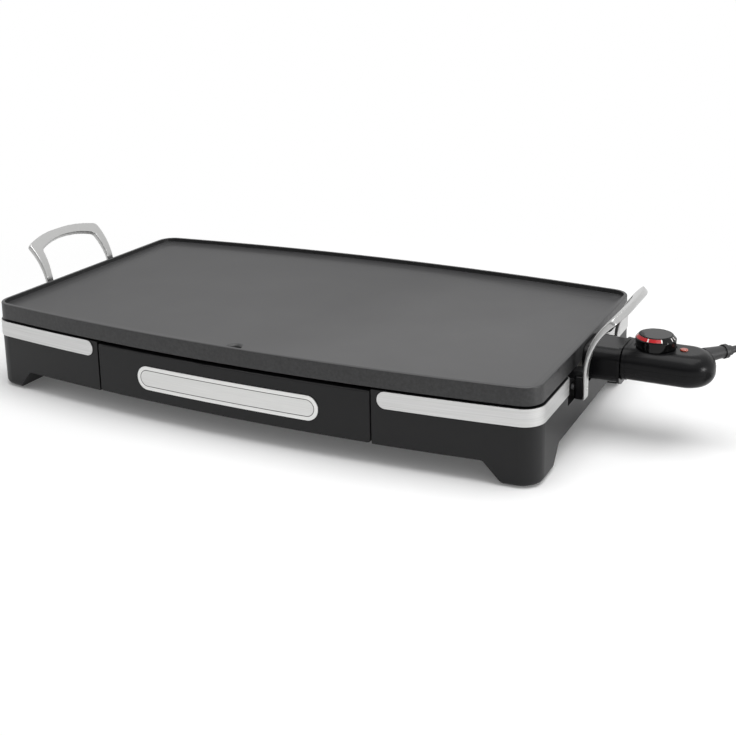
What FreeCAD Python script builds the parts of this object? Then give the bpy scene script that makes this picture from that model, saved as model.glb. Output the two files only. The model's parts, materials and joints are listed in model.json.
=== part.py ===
import FreeCAD, Part
import math
import os
import Sketcher

# Electric plancha on a housing with a drip drawer, a plug-in thermostat and two carrying handles.
# Millimetres. X runs to the thermostat, Y to the back, Z up. The origin is on the table, under the
# middle of the cooking plate.

V = FreeCAD.Vector
doc = FreeCAD.newDocument("plancha")


# Sizes

SIZES = {
    # cooking plate
    "plate_length": 560,
    "plate_depth": 280,
    "plate_bow": 18,
    "plate_corner": 18,
    "plate_top": 85,
    "plate_skirt": 15.7,
    "cooking_depth": 6.5,
    "rim_width": 3.3,
    "rim_wall": 4.3,
    "cove_width": 8,
    "plate_skin": 5,
    "skirt_wall": 4,
    "drain_bore": 11,
    "drain_inset": 20,
    "spout_wall": 2.5,
    # housing
    "plate_gap": 1.8,
    "base_overhang": 0.6,
    "base_wall": 3,
    "floor_skin": 3,
    "arch_height": 20,
    "foot_length": 44,
    "foot_depth": 53,
    "arch_slope": 18,
    "arch_rounding": 5,
    "recess_floor": 42.5,
    "recess_depth": 13,
    "recess_half": 57,
    "shoulder_run": 6,
    "shoulder_outer_rounding": 3.2,
    "shoulder_inner_rounding": 3.2,
    "pillar_diameter": 14,
    "foot_pad_diameter": 16,
    "foot_lift": 1,
    # trims
    "trim_height": 14.9,
    "trim_gap": 0.12,
    "trim_thickness": 0.8,
    "trim_front_end": 147.5,
    # drawer
    "drawer_half_width": 140.8,
    "drawer_side_gap": 1.3,
    "drawer_top_gap": 1.8,
    "drawer_front_skin": 9,
    "tray_half_width": 133,
    "tray_depth": 242,
    "tray_height": 32,
    "tray_wall": 1.2,
    "tray_lip": 5,
    "tray_corner": 14,
    "tray_bend": 3.5,
    "rail_skin": 1.2,
    "rail_ledge": 6,
    "rail_height": 12,
    "rail_end_gap": 4,
    "badge_half_length": 93.9,
    "badge_height": 22.5,
    "badge_middle": 42.7,
    "badge_thickness": 1,
    "reflector_skin": 0.8,
    "reflector_height": 61.5,
    # heating element
    "element_diameter": 6.4,
    "element_ridge": 11,
    "element_height": 69.6,
    "element_half_length": 225,
    "element_half_depth": 88,
    "element_neck": 14,
    "element_bend": 20,
    # handles
    "handle_gap": 9.2,
    "handle_half_span": 53.5,
    "handle_foot": 43.5,
    "handle_bend_start": 68,
    "handle_bend": 67,
    "handle_top": 124.8,
    "handle_foot_thickness": 3.2,
    "handle_top_thickness": 6.2,
    "handle_crown": 144,
    "handle_bar": 11.3,
    "handle_window_crown": 98,
    "handle_leg_foot": 9,
    "handle_leg_top": 12.5,
    "bracket_half_outer": 53,
    "bracket_width": 17,
    "bracket_bottom": 44.5,
    "bracket_top": 65.2,
    "bracket_neck_width": 12,
    "leg_screw": 3,
    "leg_screw_length": 9.5,
    "lug_screw": 4,
    "screw_head": 2.2,
    "lug_screw_length": 10,
    # socket and thermostat
    "collar_half_width": 24,
    "collar_bottom": 51,
    "collar_top": 81,
    "collar_length": 32,
    "collar_wall": 2.5,
    "collar_rounding": 10,
    "collar_lip": 1.2,
    "case_gap": 1.2,
    "case_half_width": 24,
    "case_bottom": 54.2,
    "case_top": 82.4,
    "case_length": 74,
    "case_rounding": 12.4,
    "case_lip": 0.6,
    "case_wall": 2.2,
    "case_seam": 68,
    "probe_diameter": 4,
    "probe_reach": 78,
    "pin_diameter": 4.8,
    "pin_pitch": 28,
    "knob_diameter": 34.6,
    "knob_height": 12,
    "knob_from_case": 23.6,
    "knob_face": 27.6,
    "knob_well": 1,
    "lens_from_case": 47.4,
    # lead
    "lead_diameter": 6.2,
    "relief_diameter": 12,
    "relief_length": 25,
    # clearances
    "fit": 0.05,
    "slide_gap": 0.3,
}

sheet = doc.addObject("Spreadsheet::Sheet", "Size")
for row, (name, number) in enumerate(SIZES.items(), 1):
    sheet.set(f"A{row}", name)
    sheet.set(f"B{row}", str(number))
    sheet.setAlias(f"B{row}", name)
doc.recompute()


class Size:
    """A size: its number, and the formula that ties it to the sheet."""

    def __init__(self, text, number):
        self.text = text
        self.number = number

    def __add__(self, other):
        return combine(self, "+", other)

    def __radd__(self, other):
        return combine(other, "+", self)

    def __sub__(self, other):
        return combine(self, "-", other)

    def __rsub__(self, other):
        return combine(other, "-", self)

    def __mul__(self, other):
        return combine(self, "*", other)

    def __rmul__(self, other):
        return combine(other, "*", self)

    def __truediv__(self, other):
        return combine(self, "/", other)

    def __rtruediv__(self, other):
        return combine(other, "/", self)

    def __neg__(self):
        return combine(0, "-", self)


def as_size(value):
    if isinstance(value, Size):
        return value
    return Size(f"({value!r})" if value < 0 else repr(value), value)


def combine(first, sign, second):
    a = as_size(first)
    b = as_size(second)
    if sign == "+":
        number = a.number + b.number
    elif sign == "-":
        number = a.number - b.number
    elif sign == "*":
        number = a.number * b.number
    else:
        number = a.number / b.number
    return Size(f"({a.text} {sign} {b.text})", number)


def root(value):
    return Size(f"sqrt({value.text})", math.sqrt(value.number))


def num(value):
    return value.number if isinstance(value, Size) else float(value)


def given(name):
    return Size(f"Size.{name}", float(getattr(sheet, name)))


derived = doc.addObject("Spreadsheet::Sheet", "Derived")
derived_rows = []


def worked(name, value):
    """A derived size, kept in the second sheet under its own name."""
    derived_rows.append(name)
    row = len(derived_rows)
    derived.set(f"A{row}", name)
    derived.set(f"B{row}", "=" + value.text)
    derived.setAlias(f"B{row}", name)
    return Size(f"Derived.{name}", value.number)


def bind(target, path, value):
    if isinstance(value, Size):
        target.setExpression(path, value.text)
    else:
        target.setExpression(path, repr(float(value)))


# Sketches and features

def foot_on(side, point):
    if side[0] == "line":
        along = (side[2] - side[1]).normalize()
        return side[1] + along * (point - side[1]).dot(along)
    return side[1] + (point - side[1]).normalize() * side[2]


def way_along(side, point, bulge):
    if side[0] == "line":
        return (side[2] - side[1]).normalize()
    out = (point - side[1]).normalize()
    return V(-out.y, out.x, 0) * (1 if bulge > 0 else -1)


def arc_centre(start, stop, radius):
    half = (stop - start) * 0.5
    left = V(-half.y, half.x, 0).normalize()
    rise = math.sqrt(max(radius * radius - half.Length ** 2, 0.0))
    return start + half + left * (rise if radius > 0 else -rise)


def rounding_centre(before, after, into, out, corner, radius, bulges):
    turn = 1 if into.x * out.y - into.y * out.x > 0 else -1
    centre = corner + (out - into).normalize() * radius
    for step in range(60):
        moves = []
        for side, bulge in ((before, bulges[0]), (after, bulges[1])):
            foot = foot_on(side, centre)
            along = way_along(side, foot, bulge)
            inward = V(-along.y, along.x, 0) * turn
            moves.append((inward, radius - (centre - foot).dot(inward)))
        (first, short), (second, less) = moves
        scale = first.x * second.y - first.y * second.x
        dx = (short * second.y - less * first.y) / scale
        dy = (less * first.x - short * second.x) / scale
        centre = centre + V(dx, dy, 0)
    return centre, turn


def add_arc(sk, centre, radius, start, stop, left):
    first = math.atan2(start.y - centre.y, start.x - centre.x)
    last = math.atan2(stop.y - centre.y, stop.x - centre.x)
    if not left:
        first, last = last, first
    index = sk.addGeometry(Part.ArcOfCircle(Part.Circle(centre, V(0, 0, 1), radius), first, last), False)
    return (index, 1, 2) if left else (index, 2, 1)


def constrain(sk, constraint, value):
    index = sk.addConstraint(constraint)
    if isinstance(value, Size):
        sk.setExpression(f"Constraints[{index}]", value.text)


def locate(sk, geometry, end, x, y):
    for kind, axis, value in (("DistanceX", -2, x), ("DistanceY", -1, y)):
        if not isinstance(value, Size) and value == 0:
            sk.addConstraint(Sketcher.Constraint("PointOnObject", geometry, end, axis))
        else:
            constrain(sk, Sketcher.Constraint(kind, -1, 1, geometry, end, num(value)), value)


def path(sk, corners, closed=True):
    """Lines and arcs through corners (x, y), (x, y, rounding) or (x, y, rounding, bulge), where
    bulge is the radius of the side that follows, positive where that side turns left."""
    count = len(corners)
    points = [V(num(c[0]), num(c[1]), 0) for c in corners]
    rounds = [c[2] if len(c) > 2 else 0 for c in corners]
    bulges = [c[3] if len(c) > 3 else 0 for c in corners]
    sides = []
    for i in range(count):
        start = points[i]
        stop = points[(i + 1) % count]
        if num(bulges[i]):
            sides.append(("arc", arc_centre(start, stop, num(bulges[i])), abs(num(bulges[i]))))
        else:
            sides.append(("line", start, stop))
    ends = []
    for i in range(count):
        if not num(rounds[i]):
            ends.append((points[i], points[i], None, 0))
            continue
        pair = (num(bulges[i - 1]), num(bulges[i]))
        into = way_along(sides[i - 1], points[i], pair[0])
        out = way_along(sides[i], points[i], pair[1])
        centre, turn = rounding_centre(
            sides[i - 1], sides[i], into, out, points[i], num(rounds[i]), pair)
        ends.append((foot_on(sides[i - 1], centre), foot_on(sides[i], centre), centre, turn))
    made = []
    for i in range(count if closed else count - 1):
        start = ends[i][1]
        stop = ends[(i + 1) % count][0]
        if sides[i][0] == "line":
            made.append((sk.addGeometry(Part.LineSegment(start, stop), False), 1, 2))
            continue
        made.append(add_arc(sk, sides[i][1], sides[i][2], start, stop, num(bulges[i]) > 0))
        size = -bulges[i] if num(bulges[i]) < 0 else bulges[i]
        constrain(sk, Sketcher.Constraint("Radius", made[-1][0], sides[i][2]), size)
    for i in range(count):
        if not closed and i in (0, count - 1):
            side = made[0] if i == 0 else made[-1]
            locate(sk, side[0], side[1] if i == 0 else side[2], corners[i][0], corners[i][1])
            continue
        before = made[i - 1]
        after = made[i]
        if ends[i][2] is None:
            sk.addConstraint(Sketcher.Constraint("Coincident", before[0], before[2], after[0], after[1]))
            locate(sk, after[0], after[1], corners[i][0], corners[i][1])
            continue
        arc = add_arc(sk, ends[i][2], num(rounds[i]), ends[i][0], ends[i][1], ends[i][3] > 0)
        sk.addConstraint(Sketcher.Constraint("Tangent", before[0], before[2], arc[0], arc[1]))
        sk.addConstraint(Sketcher.Constraint("Tangent", arc[0], arc[2], after[0], after[1]))
        constrain(sk, Sketcher.Constraint("Radius", arc[0], num(rounds[i])), rounds[i])
        mark = sk.addGeometry(Part.Point(points[i]), True)
        locate(sk, mark, 1, corners[i][0], corners[i][1])
        sk.addConstraint(Sketcher.Constraint("PointOnObject", mark, 1, before[0]))
        sk.addConstraint(Sketcher.Constraint("PointOnObject", mark, 1, after[0]))


def ring(sk, x, y, radius):
    index = sk.addGeometry(Part.Circle(V(num(x), num(y), 0), V(0, 0, 1), num(radius)), False)
    constrain(sk, Sketcher.Constraint("Radius", index, num(radius)), radius)
    locate(sk, index, 3, x, y)


def box(sk, x0, y0, x1, y1, rounding=0):
    path(sk, [(x0, y0, rounding), (x1, y0, rounding), (x1, y1, rounding), (x0, y1, rounding)])


def new_body(label):
    body = doc.addObject("PartDesign::Body", label)
    body.Label = label
    return body


def sketch_on(body, role, offset=0):
    """A sketch on a plane of the body's own origin; offset moves it up Z, to the front or along X."""
    sk = body.newObject("Sketcher::SketchObject", f"{body.Name}_sketch")
    planes = [p for p in body.Origin.OriginFeatures if p.Role == f"{role}_Plane"]
    sk.AttachmentSupport = [(planes[0], "")]
    sk.MapMode = "FlatFace"
    bind(sk, ".AttachmentOffset.Base.z", offset)
    return sk


def feature(body, kind, sk, length=None, both=False, back=False, taper=0):
    before = body.Shape.Volume if body.Tip else 0.0
    item = body.newObject(f"PartDesign::{kind}", f"{body.Name}_{kind}")
    item.Profile = sk
    if length is None:
        item.Type = "ThroughAll"
    else:
        bind(item, "Length", length)
    if both:
        item.SideType = "Symmetric"
    item.Reversed = back
    if taper:
        item.TaperAngle = taper
    doc.recompute()
    change = body.Shape.Volume - before
    if (change <= 0) if kind in ("Pad", "Revolution") else (change >= 0):
        raise RuntimeError(f"{body.Label}: {item.Name} changes nothing")
    return item


def pad(body, sk, length, **options):
    return feature(body, "Pad", sk, length, **options)


def pocket(body, sk, length=None, **options):
    return feature(body, "Pocket", sk, length, **options)


def edges_where(shape, test):
    return [f"Edge{i}" for i, edge in enumerate(shape.Edges, 1) if test(edge)]


def at_height(z, slack=0.01):
    return lambda e: abs(e.BoundBox.ZMin - num(z)) < slack and abs(e.BoundBox.ZMax - num(z)) < slack


def dress(body, kind, names, size):
    if not names:
        raise RuntimeError(f"{body.Label}: no edge for the {kind}")
    base = body.Tip
    item = body.newObject(f"PartDesign::{kind}", f"{body.Name}_{kind}")
    item.Base = (base, names)
    bind(item, "Radius" if kind == "Fillet" else "Size", size)
    doc.recompute()
    if item.Shape.isNull() or not item.Shape.isValid():
        raise RuntimeError(f"{body.Label}: {item.Name} fails")
    return item


def mirrored(label, source, normal):
    item = doc.addObject("Part::Mirroring", label)
    item.Label = label
    item.Source = source
    item.Normal = normal
    return item


def primitive(kind, name, **values):
    item = doc.addObject(f"Part::{kind}", name)
    for key, value in values.items():
        if key in ("x", "y", "z"):
            bind(item, f".Placement.Base.{key}", value)
        elif key == "turn":
            item.Placement = FreeCAD.Placement(item.Placement.Base, FreeCAD.Rotation(*value))
        else:
            bind(item, key, value)
    return item


def group(label, kind, members):
    item = doc.addObject(f"Part::{kind}", label)
    item.Label = label
    if kind == "Compound":
        item.Links = members
    else:
        item.Shapes = members
    return item


UP = (V(0, 0, 1), 0)
ALONG_X = (V(0, 1, 0), 90)
ALONG_Y = (V(1, 0, 0), -90)
TO_LEFT = (V(0, 1, 0), -90)
DOWN = (V(1, 0, 0), 180)


def screw(name, x, y, z, turn, shank, length, head, head_height):
    """A pan head screw: its head stands on (x, y, z), its shank runs back into the work."""
    top = primitive("Cylinder", f"{name}_head", Radius=head / 2, Height=head_height, x=x, y=y, z=z, turn=turn)
    way = FreeCAD.Rotation(*turn).multVec(V(0, 0, 1))
    start = [value - axis * length if axis else value for value, axis in zip((x, y, z), way_of(way))]
    rod = primitive("Cylinder", f"{name}_shank", Radius=shank / 2, Height=length,
                    x=start[0], y=start[1], z=start[2], turn=turn)
    return group(name, "MultiFuse", [top, rod])


def way_of(vector):
    return [int(round(value)) for value in vector]


s = {name: given(name) for name in SIZES}

half_length = worked("half_length", s["plate_length"] / 2)
half_depth = worked("half_depth", s["plate_depth"] / 2)
bow_radius = worked("bow_radius", (half_length * half_length + s["plate_bow"] * s["plate_bow"])
                    / (2 * s["plate_bow"]))
bow_centre = worked("bow_centre", bow_radius - half_depth - s["plate_bow"])
plate_bottom = worked("plate_bottom", s["plate_top"] - s["plate_skirt"])
base_top = worked("base_top", plate_bottom - s["plate_gap"])
base_half_length = worked("base_half_length", half_length + s["base_overhang"])
floor_top = worked("floor_top", s["arch_height"] + s["floor_skin"])
trim_bottom = worked("trim_bottom", base_top - s["trim_height"])
plate_under = worked("plate_under", s["plate_top"] - s["cooking_depth"] - s["plate_skin"])
rest_x = worked("rest_x", half_length - 50)
rest_y = worked("rest_y", half_depth - 32)
bracket_mid = worked("bracket_mid", s["bracket_half_outer"] - s["bracket_width"] / 2)
lug_x = worked("lug_x", half_length - 20)
element_start = worked("element_start", half_length - 13)
turn_x = worked("turn_x", s["element_half_length"])
ridge_foot = worked("ridge_foot", s["element_height"] - s["element_diameter"] / 2 - 0.4)
channel = worked("channel", s["element_diameter"] / 2 + s["fit"])
mouth_half = worked("mouth_half", s["pin_pitch"] / 2 + 6)
mouth_start = worked("mouth_start", element_start)
drain_y = worked("drain_y", half_depth + s["plate_bow"] - s["drain_inset"])
bay_half = worked("bay_half", s["drawer_half_width"] + s["drawer_side_gap"])
bay_back = worked("bay_back", half_depth - 30)
end_start = worked("end_start", bay_half + s["base_wall"])
back_start = worked("back_start", bay_back + s["base_wall"])
front_back = worked("front_back", half_depth + s["plate_bow"] - s["drawer_front_skin"])
shelf_x = worked("shelf_x", lug_x - s["bracket_neck_width"] / 2 - 4)
shelf_y = worked("shelf_y", half_depth - 9)
notch_floor = worked("notch_floor", plate_bottom - 8)
pillar_top = worked("pillar_top", base_top - 1.2)
foot_x = worked("foot_x", half_length - s["foot_length"] * 0.34)
foot_y = worked("foot_y", half_depth - s["foot_depth"] * 0.34)
arch_half_length = worked("arch_half_length", half_length - s["foot_length"])
arch_half_depth = worked("arch_half_depth", half_depth - s["foot_depth"])
shoulder_shift = worked("shoulder_shift", (root(s["recess_depth"] * s["recess_depth"] + s["shoulder_run"] * s["shoulder_run"])
                                           - s["shoulder_run"]) / s["recess_depth"])
tray_top = worked("tray_top", s["reflector_height"] - 3)
tray_bottom = worked("tray_bottom", tray_top - s["tray_height"])
tray_front = worked("tray_front", front_back - s["fit"])
tray_back = worked("tray_back", tray_front - s["tray_depth"])
foot_x0 = worked("handle_face", half_length + s["handle_gap"])
collar_start = worked("collar_start", half_length + 0.4)
collar_end = worked("collar_end", collar_start + s["collar_length"])
term_start = worked("term_start", element_start + s["fit"])
term_end = worked("term_end", collar_start + 7)
term_top = worked("term_top", plate_under - s["fit"])
term_bottom = worked("term_bottom", s["collar_bottom"] + s["collar_wall"] + 2.5)
term_half = worked("term_half", s["pin_pitch"] / 2 + 4)
probe_end = worked("probe_end", collar_start - s["probe_reach"])
case_start = worked("case_start", collar_end + s["case_gap"])
case_end = worked("case_end", case_start + s["case_length"])
nose_start = worked("nose_start", term_end + 1)
switch_start = worked("switch_start", case_start + 5 + s["fit"])
knob_x = worked("knob_x", case_start + s["knob_from_case"])
knob_low = worked("knob_low", s["case_top"] - s["knob_well"] + 0.2)
lens_x = worked("lens_x", case_start + s["lens_from_case"])
relief_z = worked("relief_z", s["case_seam"] + 6.8)
RELIEF_ANGLE = 52
WINDOW_ANGLE = 48
window_cos = math.cos(math.radians(WINDOW_ANGLE))
window_sin = math.sin(math.radians(WINDOW_ANGLE))
relief_cos = math.cos(math.radians(RELIEF_ANGLE))
relief_sin = math.sin(math.radians(RELIEF_ANGLE))
case_mid = case_end - s["case_half_width"]
start_out = s["case_half_width"] - 1.5
relief_x = worked("relief_x", case_mid + start_out * relief_cos)
relief_y = worked("relief_y", start_out * relief_sin)
doc.recompute()


def bow_y(x, grow):
    """How far the front bow stands from the middle at x, on the outline grown by that much."""
    reach = bow_radius + grow
    return root(reach * reach - x * x) - bow_centre


def outline(sk, grow, recess=False):
    """The plan outline of plate and base, grown outwards; recess adds the hollow in each end."""
    x = half_length + grow
    y = bow_y(x, grow)
    bow = bow_radius + grow
    turn = s["plate_corner"] + grow
    right = [(x, -y, turn)]
    if recess:
        y1 = s["recess_half"] + s["shoulder_run"] - grow * shoulder_shift
        y2 = s["recess_half"] - grow * shoulder_shift
        outer = s["shoulder_outer_rounding"] + grow
        inner = s["shoulder_inner_rounding"] - grow
        deep = x - s["recess_depth"]
        right += [(x, -y1, outer), (deep, -y2, inner), (deep, y2, inner), (x, y1, outer)]
    right += [(x, y, turn, bow)]
    left = [(-1 * c[0], -1 * c[1]) + tuple(c[2:]) for c in right]
    path(sk, right + left)


# Cooking plate: a cast pan with a bowed front, a fine step below its rim and a shallow cove down to
# the cooking face; under it a skirt, the ridge that holds the element, four rests and four lugs.

plate = new_body("cooking_plate")
sk = sketch_on(plate, "XY", plate_bottom)
outline(sk, 0)
pad(plate, sk, s["plate_skirt"])
rim_edges = edges_where(plate.Shape, at_height(s["plate_top"]))
dress(plate, "Fillet", rim_edges, s["rim_width"] * 0.36)

sk = sketch_on(plate, "XY", s["plate_top"])
outline(sk, -1 * s["rim_width"])
pocket(plate, sk, s["rim_wall"])

cove_top = sketch_on(plate, "XY", s["plate_top"] - s["rim_wall"])
outline(cove_top, -1 * s["rim_width"] - 0.8)
cove_foot = sketch_on(plate, "XY", s["plate_top"] - s["cooking_depth"])
outline(cove_foot, -1 * s["rim_width"] - s["cove_width"])
cove = plate.newObject("PartDesign::SubtractiveLoft", "cooking_plate_cove")
cove.Profile = cove_top
cove.Sections = [cove_foot]
cove.Ruled = True
doc.recompute()

sk = sketch_on(plate, "XY", plate_bottom)
outline(sk, -1 * s["skirt_wall"] - s["cove_width"] / 2)
pocket(plate, sk, plate_under - plate_bottom, back=True)

# the rests stand on the housing's pillars, the lugs carry the handle brackets
sk = sketch_on(plate, "XY", plate_bottom)
for across in (-1, 1):
    for along in (-1, 1):
        ring(sk, across * rest_x, along * rest_y, s["pillar_diameter"] / 2)
        ring(sk, across * lug_x, along * bracket_mid, s["bracket_neck_width"] / 2)
pad(plate, sk, plate_under - plate_bottom + 1)

# ridge round the element, with a channel open below


def element_way(sk):
    back_x = turn_x - s["element_bend"]
    path(sk, [(element_start, -1 * s["element_neck"]), (back_x, -1 * s["element_neck"], s["element_bend"]),
              (back_x, -1 * s["element_half_depth"], s["element_bend"]),
              (-1 * turn_x, -1 * s["element_half_depth"], s["element_bend"]),
              (-1 * turn_x, s["element_half_depth"], s["element_bend"]),
              (back_x, s["element_half_depth"], s["element_bend"]),
              (back_x, s["element_neck"], s["element_bend"]),
              (element_start, s["element_neck"])], closed=False)


def along_element(body, kind, draw):
    spine = sketch_on(body, "XY", s["element_height"])
    element_way(spine)
    section = sketch_on(body, "YZ", element_start)
    draw(section)
    pipe = body.newObject(f"PartDesign::{kind}", f"{body.Name}_{kind}")
    pipe.Profile = section
    pipe.Spine = (spine, [])
    doc.recompute()
    return pipe




def ridge_section(sk):
    y = -1 * s["element_neck"]
    box(sk, y - s["element_ridge"] / 2, ridge_foot, y + s["element_ridge"] / 2, plate_under + 0.5)


def channel_section(sk):
    y = -1 * s["element_neck"]
    box(sk, y - channel, ridge_foot - 1, y + channel, s["element_height"] + channel)


along_element(plate, "AdditivePipe", ridge_section)
along_element(plate, "SubtractivePipe", channel_section)

# mouth in the skirt for the socket, and the drain with its spout over the tray
sk = sketch_on(plate, "XY", plate_bottom - 8)
box(sk, mouth_start, -1 * mouth_half, half_length + 5, mouth_half)
pocket(plate, sk, plate_under - plate_bottom + 8, back=True)
sk = sketch_on(plate, "XY", plate_bottom - 2)
ring(sk, 0, -1 * drain_y, s["drain_bore"] / 2 + s["spout_wall"])
pad(plate, sk, plate_under - plate_bottom + 3)
sk = sketch_on(plate, "XY", s["plate_top"])
ring(sk, 0, -1 * drain_y, s["drain_bore"] / 2)
pocket(plate, sk)

# Heating element: one tube bent round the ridge
element = new_body("heating_element")


def element_section(sk):
    ring(sk, -1 * s["element_neck"], s["element_height"], s["element_diameter"] / 2)


along_element(element, "AdditivePipe", element_section)

# Housing

housing = new_body("base_housing")
sk = sketch_on(housing, "XY", s["foot_lift"])
outline(sk, s["base_overhang"])
pad(housing, sk, s["recess_floor"] - s["foot_lift"])
dress(housing, "Fillet", edges_where(housing.Shape, at_height(s["foot_lift"])), s["arch_rounding"])
sk = sketch_on(housing, "XY", s["recess_floor"])
outline(sk, s["base_overhang"], recess=True)
pad(housing, sk, base_top - s["recess_floor"])

# arches between the feet
sk = sketch_on(housing, "XZ")
drop = s["arch_height"] + 4
slope = s["arch_slope"] * drop / s["arch_height"]
path(sk, [(-1 * arch_half_length - slope, -4), (arch_half_length + slope, -4),
          (arch_half_length, s["arch_height"], s["arch_rounding"]),
          (-1 * arch_half_length, s["arch_height"], s["arch_rounding"])])
pocket(housing, sk, s["plate_depth"] * 2, both=True)
sk = sketch_on(housing, "YZ")
path(sk, [(-1 * arch_half_depth - slope, -4), (arch_half_depth + slope, -4),
          (arch_half_depth, s["arch_height"], s["arch_rounding"]),
          (-1 * arch_half_depth, s["arch_height"], s["arch_rounding"])])
pocket(housing, sk, s["plate_length"] * 2, both=True)

# three bays: the drawer bay is open to the front, an end bay lies on either side of it
inner_grow = s["base_overhang"] - s["base_wall"]
inner_x = half_length + inner_grow
deep_x = inner_x - s["recess_depth"]
end_y = bow_y(end_start, inner_grow)
corner_y = bow_y(inner_x, inner_grow)
inner_bow = bow_radius + inner_grow
in1 = s["recess_half"] + s["shoulder_run"] - inner_grow * shoulder_shift
in2 = s["recess_half"] - inner_grow * shoulder_shift
in_round = s["shoulder_outer_rounding"] + inner_grow
in_hollow = s["shoulder_inner_rounding"] - inner_grow
corner_round = s["plate_corner"] + inner_grow
for side in (1, -1):
    sk = sketch_on(housing, "XY", base_top)
    bay = [(end_start, -end_y, 0, inner_bow), (inner_x, -corner_y, corner_round),
           (inner_x, -in1, in_round), (deep_x, -in2, in_hollow),
           (deep_x, in2, in_hollow), (inner_x, in1, in_round),
           (inner_x, corner_y, corner_round, inner_bow), (end_start, end_y)]
    path(sk, [(side * c[0], side * c[1]) + tuple(c[2:]) for c in bay])
    pocket(housing, sk, base_top - floor_top)
sk = sketch_on(housing, "XY", base_top)
box(sk, -1 * bay_half, -1 * (half_depth + 40), bay_half, bay_back)
pocket(housing, sk, base_top - floor_top)
sk = sketch_on(housing, "XY", base_top)
back_y = bow_y(bay_half, inner_grow)
path(sk, [(-1 * bay_half, back_start), (bay_half, back_start), (bay_half, back_y, 0, inner_bow),
          (-1 * bay_half, back_y)])
pocket(housing, sk, base_top - floor_top)

# hollow under the recess floor, the feet's hollows, the floor's front edge behind the drawer front
sk = sketch_on(housing, "XZ")
box(sk, deep_x - 5, floor_top, inner_x, s["recess_floor"] - s["base_wall"])
box(sk, -1 * inner_x, floor_top, -1 * deep_x + 5, s["recess_floor"] - s["base_wall"])
pocket(housing, sk, s["recess_half"] * 2, both=True)
sk = sketch_on(housing, "XY", floor_top)
box(sk, -1 * bay_half, -1 * (half_depth + 40), bay_half, -1 * front_back + s["slide_gap"])
pocket(housing, sk)

# inner walls end under the reflector, with a step for it all round
sk = sketch_on(housing, "XY", base_top)
box(sk, -1 * shelf_x, -1 * shelf_y, shelf_x, shelf_y, 12)
pocket(housing, sk, base_top - s["reflector_height"])

# the recess walls stand lower between their shoulders, for the bracket arms, and lowest at the socket
for side in (-1, 1):
    sk = sketch_on(housing, "XY", base_top)
    x0 = side * (half_length - s["recess_depth"] - s["base_wall"] - 6)
    x1 = side * (half_length + 3)
    low = x0 if side > 0 else x1
    high = x1 if side > 0 else x0
    box(sk, low, -1 * s["recess_half"] + s["base_wall"], high, s["recess_half"] - s["base_wall"])
    pocket(housing, sk, base_top - notch_floor)
sk = sketch_on(housing, "XY", base_top)
box(sk, half_length - 20, -1 * mouth_half - 1.5, half_length + 5, mouth_half + 1.5)
pocket(housing, sk, base_top - s["collar_bottom"] + 1)

# pillars under the plate's rests
sk = sketch_on(housing, "XY", floor_top - 1)
for across in (-1, 1):
    for along in (-1, 1):
        ring(sk, across * rest_x, along * rest_y, s["pillar_diameter"] / 2)
pad(housing, sk, pillar_top - floor_top + 1)

# seats of the rubber feet
sk = sketch_on(housing, "XY", s["foot_lift"])
for across in (-1, 1):
    for along in (-1, 1):
        ring(sk, across * foot_x, along * foot_y, s["foot_pad_diameter"] / 2 + s["fit"])
pocket(housing, sk, 1.5, back=True)

pads = []
rests = []
for number, (across, along) in enumerate(((-1, -1), (1, -1), (1, 1), (-1, 1)), 1):
    pads.append(primitive("Cylinder", f"foot_pad_{number}", Radius=s["foot_pad_diameter"] / 2,
                          Height=s["foot_lift"] + 1.45, x=across * foot_x, y=along * foot_y, z=0))
    rests.append(primitive("Cylinder", f"rest_pad_{number}", Radius=s["pillar_diameter"] / 2,
                           Height=plate_bottom - pillar_top - 2 * s["fit"],
                           x=across * rest_x, y=along * rest_y, z=pillar_top + s["fit"]))
group("foot_pads", "Compound", pads)
group("plate_rest_pads", "Compound", rests)

# Reflector over the drawer, with a drip hole and clear of the pillars
reflector = new_body("heat_reflector")
sk = sketch_on(reflector, "XY", s["reflector_height"] + s["fit"])
reflector_x = shelf_x - 1
reflector_y = shelf_y - 1
box(sk, -1 * reflector_x, -1 * reflector_y, reflector_x, reflector_y, 11)
pad(reflector, sk, s["reflector_skin"])
sk = sketch_on(reflector, "XY", base_top)
for across in (-1, 1):
    for along in (-1, 1):
        ring(sk, across * rest_x, along * rest_y, s["pillar_diameter"] / 2 + 2)
pocket(reflector, sk)
sk = sketch_on(reflector, "XY", base_top)
box(sk, -1 * s["drain_bore"], -1 * reflector_y - 2, s["drain_bore"], -1 * drain_y + s["drain_bore"])
pocket(reflector, sk)

# Trims: thin steel bands round the corners of the base, rounded at the end near the drawer and cut
# off in the shoulder of the recess
trim = new_body("trim_front_right")
sk = sketch_on(trim, "XY", trim_bottom)
inside = s["base_overhang"] + s["trim_gap"]
outside = inside + s["trim_thickness"]


def band_side(grow):
    x = half_length + grow
    start = s["trim_front_end"]
    y1 = s["recess_half"] + s["shoulder_run"] - grow * shoulder_shift
    y2 = y1 - s["shoulder_run"] * 0.8
    return [(start, -1 * bow_y(start, grow), 0, bow_radius + grow),
            (x, -1 * bow_y(x, grow), s["plate_corner"] + grow),
            (x, -1 * y1, s["shoulder_outer_rounding"] + grow),
            (x - s["recess_depth"] * 0.8, -1 * y2)]


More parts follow.
